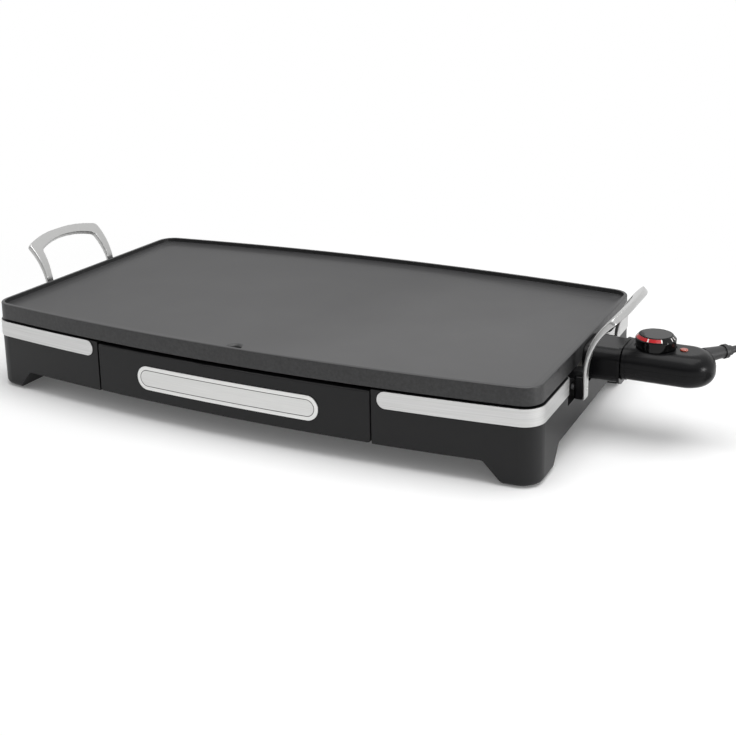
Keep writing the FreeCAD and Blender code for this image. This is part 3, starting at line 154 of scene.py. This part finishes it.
def reads(shader, label):
    """What a socket of the shader is linked to."""
    return shader.inputs[label].links[0].from_socket


# Node groups that several finishes share

def new_group(name, inputs, outputs):
    group = bpy.data.node_groups.new(name, "ShaderNodeTree")
    for label, value in inputs:
        kind = "NodeSocketColor" if label == "Color" else "NodeSocketFloat"
        socket = group.interface.new_socket(name=label, in_out="INPUT", socket_type=kind)
        socket.default_value = value
    for label in outputs:
        kind = "NodeSocketColor" if label == "Color" else "NodeSocketFloat"
        group.interface.new_socket(name=label, in_out="OUTPUT", socket_type=kind)
    return group, group.nodes.new("NodeGroupInput").outputs, group.nodes.new("NodeGroupOutput").inputs


def add_group(tree, group, inputs=None):
    node = tree.nodes.new("ShaderNodeGroup")
    node.node_tree = group
    for label, value in (inputs or {}).items():
        node.inputs[label].default_value = value
    return node.outputs


def grain_group():
    """Fine even grain: a tint that varies a little, a height for the bump, and a slow drift for the gloss."""
    group, given, wanted = new_group(
        "fine_grain",
        [("Size", 1500.0), ("Drift Size", 12.0), ("Tint Spread", 0.15), ("Color", (0.1, 0.1, 0.1, 1.0))],
        ["Color", "Height", "Drift"])
    place = own_place(group)
    fine = add_node(group, "TexNoise", {"Vector": place, "Scale": given["Size"], "Detail": 3.0,
                                        "Roughness": 0.6}).outputs["Fac"]
    slow = add_node(group, "TexNoise", {"Vector": place, "Scale": given["Drift Size"],
                                        "Detail": 4.0}).outputs["Fac"]
    centred = reckon(group, "SUBTRACT", reckon(group, "ADD", fine, slow), 1.0)
    spread = reckon(group, "MULTIPLY_ADD", centred, given["Tint Spread"], 1.0)
    feed(group, wanted["Color"], scaled(group, given["Color"], spread))
    feed(group, wanted["Height"], fine)
    feed(group, wanted["Drift"], slow)
    return group


def brush_group():
    """Brushing that runs level round the piece: long streaks, fine across."""
    group, given, wanted = new_group(
        "level_brushing",
        [("Along", 14.0), ("Across", 2600.0), ("Tint Spread", 0.3), ("Color", (0.6, 0.6, 0.6, 1.0))],
        ["Color", "Height", "Roughness"])
    ratio = add_node(group, "CombineXYZ", {"X": given["Along"], "Y": given["Along"], "Z": given["Across"]})
    stretch = add_node(group, "VectorMath", {0: own_place(group), 1: ratio.outputs[0]}, operation="MULTIPLY")
    streak = add_node(group, "TexNoise", {"Vector": stretch.outputs[0], "Scale": 1.0, "Detail": 4.0,
                                          "Roughness": 0.65}).outputs["Fac"]
    spread = reckon(group, "MULTIPLY_ADD", reckon(group, "SUBTRACT", streak, 0.5), given["Tint Spread"], 1.0)
    feed(group, wanted["Color"], scaled(group, given["Color"], spread))
    feed(group, wanted["Height"], streak)
    feed(group, wanted["Roughness"], remapped(group, streak, 0.3, 0.5))
    return group


def wall_mask_group():
    """One on upright walls, nought on level faces, with a soft change between them."""
    group, given, wanted = new_group("upright_walls", [("Start", 0.75), ("Full", 0.35)], ["Mask"])
    facing = add_node(group, "NewGeometry").outputs["Normal"]
    level = reckon(group, "ABSOLUTE", add_node(group, "SeparateXYZ", {0: facing}).outputs["Z"])
    ramp = add_node(group, "MapRange", {"Value": level, "From Min": given["Start"], "From Max": given["Full"]},
                    interpolation_type="SMOOTHSTEP")
    feed(group, wanted["Mask"], ramp.outputs[0])
    return group


def stadium_line_group():
    """A thin line that runs round a long round-ended plate, a set way in from its edge."""
    group, given, wanted = new_group(
        "stadium_line",
        [("Half Length", 0.1), ("Half Height", 0.01), ("Middle", 0.04), ("Inset", 0.004),
         ("Thickness", 0.0004)],
        ["Line", "Border"])

    def step(kind, *terms):
        return reckon(group, kind, *terms)

    place = own_xyz(group)
    straight = step("SUBTRACT", given["Half Length"], given["Half Height"])
    along = step("MAXIMUM", step("SUBTRACT", step("ABSOLUTE", place["X"]), straight), 0.0)
    up = step("SUBTRACT", place["Z"], given["Middle"])
    reach = step("SQRT", step("ADD", step("MULTIPLY", along, along), step("MULTIPLY", up, up)))
    depth = step("SUBTRACT", given["Half Height"], reach)
    away = step("ABSOLUTE", step("SUBTRACT", depth, given["Inset"]))
    line = add_node(group, "MapRange", {"Value": away, "From Min": given["Thickness"],
                                        "From Max": step("MULTIPLY", given["Thickness"], 0.4)},
                    interpolation_type="SMOOTHSTEP")
    feed(group, wanted["Line"], line.outputs[0])
    feed(group, wanted["Border"], step("LESS_THAN", depth, given["Inset"]))
    return group


GRAIN = grain_group()
BRUSH = brush_group()
WALLS = wall_mask_group()
STADIUM = stadium_line_group()


# Finishes, one for each material slot of the record

FINISHES = {}
DRIFT_SIZE = 12.0
BRUSHING_STRENGTH = 0.15
BRUSHING_DEPTH = 0.00004


def finish_with(name, **settings):
    """A material whose Principled shader takes its plain numbers on its own sockets."""
    material = FINISHES[name] = bpy.data.materials.new(name)
    material.use_nodes = True
    tree = material.node_tree
    shader = tree.nodes["Principled BSDF"]
    for key, value in settings.items():
        shader.inputs[key.replace("_", " ")].default_value = value
    return material, tree, shader


def opened(name):
    """The tree and the shader of a finish that is there already."""
    tree = FINISHES[name].node_tree
    return tree, tree.nodes["Principled BSDF"]


def grained(name, color, size, spread, bump, rough, rough_spread=0.06, **settings):
    """Fine grain: its size per metre, how far it varies the tint, and its bump's strength and depth."""
    _, tree, shader = finish_with(name, Roughness=rough, **settings)
    grain = add_group(tree, GRAIN, {"Size": size, "Drift Size": DRIFT_SIZE, "Tint Spread": spread,
                                    "Color": (*color, 1.0)})
    tree.links.new(grain["Color"], shader.inputs["Base Color"])
    tree.links.new(raised(tree, grain["Height"], *bump), shader.inputs["Normal"])
    gloss = remapped(tree, grain["Drift"], rough - rough_spread, rough + rough_spread)
    tree.links.new(gloss, shader.inputs["Roughness"])


def brushed(name, color, spread, along, across):
    """Brushed metal: how far the streaks vary the tint, and how many there are per metre either way."""
    _, tree, shader = finish_with(name, Metallic=1.0, Anisotropic=0.4)
    streaks = add_group(tree, BRUSH, {"Along": along, "Across": across, "Tint Spread": spread,
                                      "Color": (*color, 1.0)})
    tree.links.new(streaks["Color"], shader.inputs["Base Color"])
    tree.links.new(streaks["Roughness"], shader.inputs["Roughness"])
    relief = raised(tree, streaks["Height"], BRUSHING_STRENGTH, BRUSHING_DEPTH)
    tree.links.new(relief, shader.inputs["Normal"])


def add_cast_skin_and_painted_wall_shade(name, size, strength, depth):
    """Coarser sand-cast skin on the upright walls of a coated casting, on top of its fine grain, with painted
    shade: the walls' colour is darkened to between 0.3 and 0.8 of the coat's, so they come out darker than the
    top.
    """
    tree, shader = opened(name)
    color = reads(shader, "Base Color")
    sand = add_node(tree, "TexNoise", {"Vector": own_place(tree), "Scale": size, "Detail": 5.0,
                                       "Roughness": 0.62}).outputs["Fac"]
    walls = add_group(tree, WALLS)["Mask"]
    amount = reckon(tree, "MULTIPLY", sand, walls)
    relief = raised(tree, amount, strength, depth, reads(shader, "Normal"))
    tree.links.new(relief, shader.inputs["Normal"])
    # Painted shade: on the walls the coat's colour is scaled down to between 0.3 and 0.8, and the sand noise
    # mottles it.
    mottle_and_wall_shade = add_node(tree, "MapRange", {"Value": sand, "From Min": 0.3, "From Max": 0.7,
                                         "To Min": 0.3, "To Max": 0.8}).outputs[0]
    tint = mixed(tree, "RGBA", walls, color, scaled(tree, color, mottle_and_wall_shade))
    tree.links.new(tint, shader.inputs["Base Color"])


def engrave_line(name, half_length, half_height, middle, inset, thickness):
    """The dark line scribed round the badge, and the slightly brighter border outside it."""
    tree, shader = opened(name)
    scribe = add_group(tree, STADIUM, {"Half Length": half_length, "Half Height": half_height,
                                       "Middle": middle, "Inset": inset, "Thickness": thickness})
    lift = remapped(tree, scribe["Border"], 0.96, 1.08)
    dim = remapped(tree, scribe["Line"], 1.0, 0.16)
    tint = scaled(tree, reads(shader, "Base Color"), reckon(tree, "MULTIPLY", lift, dim))
    dull = reckon(tree, "MULTIPLY_ADD", scribe["Line"], 0.35, reads(shader, "Roughness"))
    groove = raised(tree, scribe["Line"], 0.6, 0.0002, reads(shader, "Normal"), invert=True)
    tree.links.new(tint, shader.inputs["Base Color"])
    tree.links.new(dull, shader.inputs["Roughness"])
    tree.links.new(groove, shader.inputs["Normal"])


KNOB_X = 0.3372
DIAL_INNER = 0.0147
DIAL_OUTER = 0.0167
DIAL_LOW = 0.0895
DIAL_RED = (185.0, 302.0)
DIAL_MARKS = ((196.0, 4.0), (258.0, 4.5), (300.0, 4.0), (338.0, 3.0), (352.0, 3.0))
PRINT_RED = (0.42, 0.012, 0.016, 1.0)
PRINT_PALE = (0.75, 0.72, 0.70, 1.0)


def print_dial(name):
    """The dial printed on the knob's slope: a red arc for the warm settings and pale marks.

    Angles are in degrees, each mark has its middle and its width.
    """
    tree, shader = opened(name)

    def step(kind, *terms):
        return reckon(tree, kind, *terms)

    def within(value, low, high):
        return step("MULTIPLY", step("GREATER_THAN", value, low), step("LESS_THAN", value, high))

    place = own_xyz(tree)
    out = step("SUBTRACT", place["X"], KNOB_X)
    reach = step("SQRT", step("ADD", step("MULTIPLY", out, out), step("MULTIPLY", place["Y"], place["Y"])))
    degrees = step("MULTIPLY", step("ARCTAN2", place["Y"], out), 180 / math.pi)
    angle = step("MODULO", step("ADD", degrees, 360.0), 360.0)
    band = step("MULTIPLY", within(reach, DIAL_INNER, DIAL_OUTER), step("GREATER_THAN", place["Z"], DIAL_LOW))
    arc = step("MULTIPLY", within(angle, *DIAL_RED), band)
    near = [step("LESS_THAN", step("ABSOLUTE", step("SUBTRACT", angle, middle)), width / 2)
            for middle, width in DIAL_MARKS]
    marks = step("MULTIPLY", larger(tree, *near), band)
    red = mixed(tree, "RGBA", arc, reads(shader, "Base Color"), PRINT_RED)
    tree.links.new(mixed(tree, "RGBA", marks, red, PRINT_PALE), shader.inputs["Base Color"])


def amber_lens():
    _, tree, shader = finish_with("lens_amber", Roughness=0.18, Base_Color=(0.42, 0.05, 0.018, 1.0),
                                  Transmission_Weight=0.2, Coat_Weight=0.4)
    speckle = add_node(tree, "TexNoise", {"Scale": 900.0}).outputs["Fac"]
    tree.links.new(raised(tree, speckle, 0.1, 0.0001), shader.inputs["Normal"])


grained("plate_coat", (0.030, 0.030, 0.031), 1900.0, 0.25, (0.2, 0.0001), 0.45, Specular_IOR_Level=0.5)
grained("base_plastic", (0.011, 0.011, 0.0115), 2400.0, 0.2, (0.18, 0.00006), 0.42, Specular_IOR_Level=0.22)
grained("front_plastic", (0.010, 0.010, 0.0105), 2400.0, 0.2, (0.18, 0.00006), 0.4, Specular_IOR_Level=0.22)
grained("case_plastic", (0.005, 0.005, 0.0055), 2600.0, 0.2, (0.06, 0.00004), 0.27, 0.04,
        Specular_IOR_Level=0.13)
grained("knob_plastic", (0.003, 0.003, 0.0032), 2600.0, 0.2, (0.03, 0.00002), 0.1, 0.02,
        Specular_IOR_Level=0.22)
grained("rubber_black", (0.02, 0.02, 0.02), 900.0, 0.25, (0.3, 0.0001), 0.75)
grained("lead_rubber", (0.016, 0.016, 0.017), 1100.0, 0.2, (0.15, 0.00006), 0.45)
grained("handle_metal", (0.47, 0.47, 0.465), 2200.0, 0.04, (0.02, 0.00001), 0.3, 0.015, Metallic=0.9)
grained("tray_coat", (0.03, 0.03, 0.031), 1300.0, 0.2, (0.12, 0.00005), 0.33)
grained("reflector_sheet", (0.62, 0.62, 0.63), 160.0, 0.12, (0.1, 0.0001), 0.35, Metallic=1.0)
grained("plated_steel", (0.24, 0.24, 0.25), 500.0, 0.15, (0.1, 0.00006), 0.34, Metallic=1.0)
grained("element_sheath", (0.16, 0.15, 0.145), 600.0, 0.3, (0.2, 0.0001), 0.5, Metallic=1.0)
grained("ceramic_white", (0.66, 0.64, 0.6), 900.0, 0.1, (0.25, 0.0001), 0.7)
grained("pin_brass", (0.62, 0.58, 0.48), 700.0, 0.12, (0.08, 0.00004), 0.28, Metallic=1.0)
brushed("steel_trim", (0.59, 0.59, 0.585), 0.55, 11.0, 1500.0)
brushed("badge_metal", (0.68, 0.68, 0.67), 0.35, 30.0, 2200.0)
# The plate's upright walls get the sand-cast skin bump and painted shade that makes them darker than the top.
add_cast_skin_and_painted_wall_shade("plate_coat", 360.0, 0.35, 0.0004)
engrave_line("badge_metal", 0.0939, 0.01125, 0.0427, 0.0037, 0.00042)
print_dial("knob_plastic")
amber_lens()

slot_of = {part["node"]: part["material_slot"] for part in frame["record"]["subparts"]}
for name, obj in nodes.items():
    finish = FINISHES[slot_of[name]]
    if obj.data.materials:
        for index in range(len(obj.data.materials)):
            obj.data.materials[index] = finish
    else:
        obj.data.materials.append(finish)


# Copies of the cast and cut pieces with their sharp edges softened, each in place of its node

MERGE_WITHIN = 1e-6
LEVEL_WITHIN = math.radians(0.2)
SHARP_FROM = math.radians(38.0)
EDGE_SEGMENTS = 2

body_of = {name: body for body, names in frame["record"]["behaviour"]["bodies"].items() for name in names}


def merged_copy(node):
    """A closed copy of a CAD node that stands for it and rides where it rides."""
    shape = bmesh.new()
    shape.from_mesh(nodes[node].data)
    bmesh.ops.remove_doubles(shape, verts=shape.verts, dist=MERGE_WITHIN)
    bmesh.ops.dissolve_limit(shape, angle_limit=LEVEL_WITHIN, verts=shape.verts, edges=shape.edges)
    mesh = bpy.data.meshes.new(node + "_soft")
    shape.to_mesh(mesh)
    shape.free()
    if "custom_normal" in mesh.attributes:
        mesh.attributes.remove(mesh.attributes["custom_normal"])
    mesh.shade_smooth()
    mesh.materials.clear()
    mesh.materials.append(FINISHES[slot_of[node]])
    piece = bpy.data.objects.new(node + "_soft", mesh)
    bpy.context.scene.collection.objects.link(piece)
    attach(piece, body_of[node])
    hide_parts(node)
    return piece


def softened(node, width):
    """A copy with a narrow rounding along every sharp edge."""
    piece = merged_copy(node)
    piece.data.set_sharp_from_angle(angle=SHARP_FROM)
    edge = piece.modifiers.new("edge", "BEVEL")
    edge.width = width
    edge.segments = EDGE_SEGMENTS
    edge.limit_method = "ANGLE"
    edge.angle_limit = SHARP_FROM
    edge.use_clamp_overlap = False
    edge.harden_normals = True
    return piece


CAST_MESH = 0.0007
CAST_PASSES = 18
ON_FACE = 0.00003
FACE_TO_EDGE = 0.00014


def keep_face_normals(mesh, exact):
    """Gives a rounded mesh the CAD's normals where it lies on the CAD's faces, and its own at the edges."""
    corners = [corner.vector.copy() for corner in exact.corner_normals]
    spots = [vertex.co.copy() for vertex in exact.vertices]
    tree = BVHTree.FromPolygons(spots, [tuple(face.vertices) for face in exact.polygons])
    normals = []
    for vertex in mesh.vertices:
        spot, _, row, depth = tree.find_nearest(vertex.co)
        face = exact.polygons[row]
        shares = poly_3d_calc([spots[i] for i in face.vertices], spot)
        even = Vector((0.0, 0.0, 0.0))
        for loop, share in zip(face.loop_indices, shares):
            even += corners[loop] * share
        own = min(max((depth - ON_FACE) / FACE_TO_EDGE, 0.0), 1.0)
        normals.append(even.normalized().lerp(vertex.normal, own).normalized())
    mesh.normals_split_custom_set_from_vertices(normals)


def cast_round(node):
    """A copy whose every edge is rounded alike, as a casting's are."""
    piece = merged_copy(node)
    skin = piece.modifiers.new("skin", "REMESH")
    skin.mode = "VOXEL"
    skin.voxel_size = CAST_MESH
    skin.use_smooth_shade = True
    ease = piece.modifiers.new("ease", "SMOOTH")
    ease.factor = 0.5
    ease.iterations = CAST_PASSES
    view = bpy.context.evaluated_depsgraph_get()
    rounded = bpy.data.meshes.new_from_object(piece.evaluated_get(view))
    piece.modifiers.clear()
    keep_face_normals(rounded, nodes[node].data)
    piece.data = rounded


DRAIN_MIDDLE = Vector((0.0, -0.138, 0.0785))
DRAIN_REACH = 0.0058
DRAIN_LEVEL_WITHIN = 0.0002
DRAIN_ROUNDING = 0.0032
DRAIN_SEGMENTS = 5


def round_drain(plate):
    """Rounds the upper edge of the plate's drain over, as the coating leaves it."""

    def on_drain(end):
        level = abs(end.co.z - DRAIN_MIDDLE.z) < DRAIN_LEVEL_WITHIN
        return level and (end.co - DRAIN_MIDDLE).length < DRAIN_REACH

    shape = bmesh.new()
    shape.from_mesh(plate.data)
    ring = [edge for edge in shape.edges if all(on_drain(end) for end in edge.verts)]
    bmesh.ops.bevel(shape, geom=ring, offset=DRAIN_ROUNDING, affect="EDGES", segments=DRAIN_SEGMENTS,
                    profile=0.5, material=-1)
    shape.to_mesh(plate.data)
    shape.free()


for name in ("handle_right", "handle_left"):
    cast_round(name)
for name in ("trim_front_right", "trim_front_left", "trim_rear_right", "trim_rear_left"):
    softened(name, 0.0002)
softened("drawer_badge", 0.00025)
round_drain(softened("cooking_plate", 0.0003))


# Lead: one smooth line from the strain relief down to the table, through its coil, to the plug

EXIT_X = 0.3774473
RELIEF = Vector((EXIT_X, 0.0177302, 0.0748))
WAY = Vector((math.cos(math.radians(52)), math.sin(math.radians(52)), 0.0))
LEAD_THICK = 0.0062
FLOOR = LEAD_THICK / 2
INSIDE_RELIEF = (0.006, 0.026, 0.044)
FALL = ((0.0575, 0.0714, 0.0623), (0.0791, 0.0804, 0.0349), (0.098, 0.083, 0.0103), (0.120, 0.084, FLOOR))
COIL_FROM_EXIT = 0.142
COIL_R = 0.042
COIL_STEP = LEAD_THICK + 0.0007
COIL_WINDS = 5
POINTS_PER_WIND = 6
CIRCLE_FIT = 0.966
PLUG_RUN = (0.013, 0.028)


def lead_points():
    """The lead's knots. It winds inwards by half turns, climbs once by its own thickness, and winds out."""
    points = [RELIEF + WAY * run for run in INSIDE_RELIEF]
    points += [Vector((EXIT_X + out, side, height)) for out, side, height in FALL]
    inward = [COIL_R - COIL_STEP / 2 * wind for wind in range(COIL_WINDS)]
    radii = inward + [COIL_R - COIL_STEP / 2 * COIL_WINDS] + inward[::-1]
    here = Vector((EXIT_X + COIL_FROM_EXIT, 2 * COIL_R, FLOOR))
    for wind, radius in enumerate(radii):
        across = -1 if wind % 2 == 0 else 1
        climb = COIL_STEP if wind == COIL_WINDS else 0.0
        centre = here + Vector((0, across * radius, 0))
        out = radius / CIRCLE_FIT
        for part in range(POINTS_PER_WIND):
            turn = math.radians(15 + 30 * part)
            points.append(centre + Vector((-across * math.sin(turn) * out, -across * math.cos(turn) * out,
                                           climb * (1 - math.cos(turn)) / 2)))
        here = here + Vector((0, across * 2 * radius, climb))
    points += [here + Vector((-run, 0, 0)) for run in PLUG_RUN]
    return points


def smooth_line(name, points, thick):
    data = bpy.data.curves.new(name, "CURVE")
    data.dimensions = "3D"
    data.bevel_depth = thick / 2
    data.bevel_resolution = 5
    data.resolution_u = 6
    data.use_fill_caps = True
    spline = data.splines.new("NURBS")
    spline.points.add(len(points) - 1)
    for knot, point in zip(spline.points, points):
        knot.co = (*point, 1.0)
    spline.order_u = 3
    spline.use_endpoint_u = True
    obj = bpy.data.objects.new(name, data)
    bpy.context.scene.collection.objects.link(obj)
    return obj


lead = smooth_line("mains_lead_whole", lead_points(), LEAD_THICK)
lead.data.materials.append(FINISHES["lead_rubber"])
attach(lead, "thermostat")
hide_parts("mains_lead", "lead_coil")


# Room: pale floor, plain soft light

FLOOR_HALF = 8.0
FLOOR_REACH = (0.62, 0.46)
GLOW = (0.08, 1.0)
GLOW_FROM_TO = (0.55, 1.35)
FILL = 0.5
DIM_FRONT = 0.16
BEHIND_FROM_TO = (-0.5, 0.05)
ABOVE_FROM_TO = (0.2, 0.6)
# Name, place, aim, width, height, watts, share of the highlight
LAMPS = (
    ("top_light", (0.5, -0.05, 2.1), (0.0, 0.0, 0.0), 1.9, 1.9, 38.0, 0.4),
    ("left_light", (-2.0, -1.0, 1.1), (0.0, 0.0, 0.05), 1.2, 1.2, 5.0, 1.0),
    ("right_strip", (1.3, -0.16, 0.2), (0.37, 0.0, 0.07), 0.2, 0.24, 4.2, 1.0),
)


def floor_finish():
    """Pale table: it takes the object's shadow, and pales into the white backdrop further out."""
    material, tree, shader = finish_with("studio_floor", Base_Color=(0.93, 0.93, 0.93, 1.0), Roughness=0.6,
                                         Specular_IOR_Level=0.1)
    wide, deep = FLOOR_REACH
    oval = add_node(tree, "Mapping", {"Vector": own_place(tree), "Scale": (1 / wide, 1 / deep, 1.0)})
    reach = add_node(tree, "VectorMath", {0: oval.outputs[0]}, operation="LENGTH").outputs["Value"]
    path = add_node(tree, "LightPath").outputs
    seen = larger(tree, path["Is Camera Ray"], path["Is Glossy Ray"], path["Is Transmission Ray"])
    share = reckon(tree, "MULTIPLY", blend(tree, *GLOW, *GLOW_FROM_TO, reach), seen)
    white = add_node(tree, "Emission").outputs[0]
    mix = add_node(tree, "MixShader", {"Fac": share, 1: shader.outputs[0], 2: white})
    tree.links.new(mix.outputs[0], tree.nodes["Material Output"].inputs["Surface"])
    return material


def studio_world():
    """White to the eye; to gloss, white behind and above and dim in front; a plain even fill besides."""
    world = bpy.data.worlds.new("studio_world")
    bpy.context.scene.world = world
    world.use_nodes = True
    tree = world.node_tree
    back = tree.nodes["Background"]
    back.inputs["Color"].default_value = (1.0, 1.0, 1.0, 1.0)
    path = add_node(tree, "LightPath").outputs
    way = add_node(tree, "TexCoord").outputs["Generated"]
    toward = add_node(tree, "SeparateXYZ", {0: way}).outputs
    gloss = larger(tree, blend(tree, DIM_FRONT, 1.0, *BEHIND_FROM_TO, toward["Y"]),
                   blend(tree, DIM_FRONT, 1.0, *ABOVE_FROM_TO, toward["Z"]))
    lit = mixed(tree, "FLOAT", path["Is Glossy Ray"], FILL, gloss)
    shown = larger(tree, path["Is Camera Ray"], path["Is Transmission Ray"])
    tree.links.new(mixed(tree, "FLOAT", shown, lit, 1.0), back.inputs["Strength"])


def plain_room():
    sheet = bmesh.new()
    bmesh.ops.create_grid(sheet, x_segments=1, y_segments=1, size=FLOOR_HALF)
    mesh = bpy.data.meshes.new("studio_floor")
    sheet.to_mesh(mesh)
    sheet.free()
    floor = bpy.data.objects.new("studio_floor", mesh)
    bpy.context.scene.collection.objects.link(floor)
    mesh.materials.append(floor_finish())
    studio_world()
    for name, place, aim, wide, high, watts, gloss in LAMPS:
        data = bpy.data.lights.new(name, "AREA")
        data.shape = "RECTANGLE"
        data.size = wide
        data.size_y = high
        data.energy = watts
        data.specular_factor = gloss
        lamp = bpy.data.objects.new(name, data)
        bpy.context.scene.collection.objects.link(lamp)
        lamp.location = place
        lamp.rotation_euler = (Vector(aim) - Vector(place)).to_track_quat("-Z", "Y").to_euler()


plain_room()
bpy.context.scene.view_settings.view_transform = "Standard"
